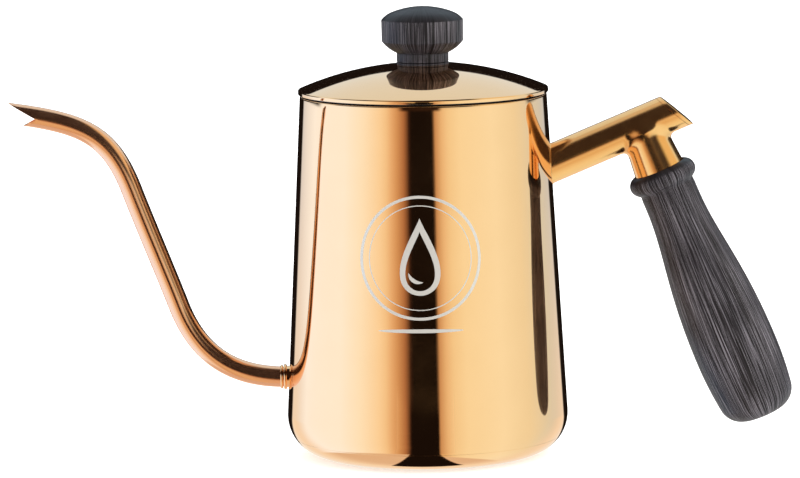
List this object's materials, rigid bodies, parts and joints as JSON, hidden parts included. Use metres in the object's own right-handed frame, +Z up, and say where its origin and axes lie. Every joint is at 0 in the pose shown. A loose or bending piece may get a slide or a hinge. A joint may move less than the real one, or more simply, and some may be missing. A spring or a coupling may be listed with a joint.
{
  "type": "gooseneck kettle",
  "caption": "Hand pour-over kettle: tapered plated steel body, thin curved spout with a notched tip, turned black wood grip on a raised arm, and a domed lift-off lid with a wood knob.",
  "frame": {"origin": "centre of the flat base, on the body's axis", "axes": "+Z up along the body's axis, -X along the spout, +X along the handle, +Y to the left of someone who pours forwards"},
  "size_m": [0.2468, 0.089, 0.1422],
  "materials": {
    "mirror_plating": "rose-gold plated stainless steel, mirror polished",
    "satin_plating": "rose-gold plated stainless steel, soft satin polish",
    "black_wood": "turned open-grain wood, stained black with pale pores, satin",
    "bare_steel": "bare stainless steel",
    "bare_brass": "turned brass"
  },
  "bodies": {
    "kettle": {"body_wall": "mirror_plating", "base_pan": "mirror_plating", "spout_collar": "satin_plating", "spout_tube": "satin_plating", "handle_arm": "satin_plating", "handle_end_cap": "satin_plating", "stub_plug": "bare_steel", "grip_stud": "bare_steel", "grip_insert": "bare_brass", "grip": "black_wood"},
    "lid": {"lid_shell": "mirror_plating", "lid_skirt": "mirror_plating", "knob": "black_wood", "knob_insert": "bare_brass", "knob_washer": "bare_steel", "knob_spring_washer": "bare_steel", "knob_screw": "bare_steel"}
  },
  "joints": [
    {"name": "lid_lift", "type": "slide", "parent": "kettle", "child": "lid", "axis": [0, 0, 1], "range_m": [0, 0.06]}
  ]
}
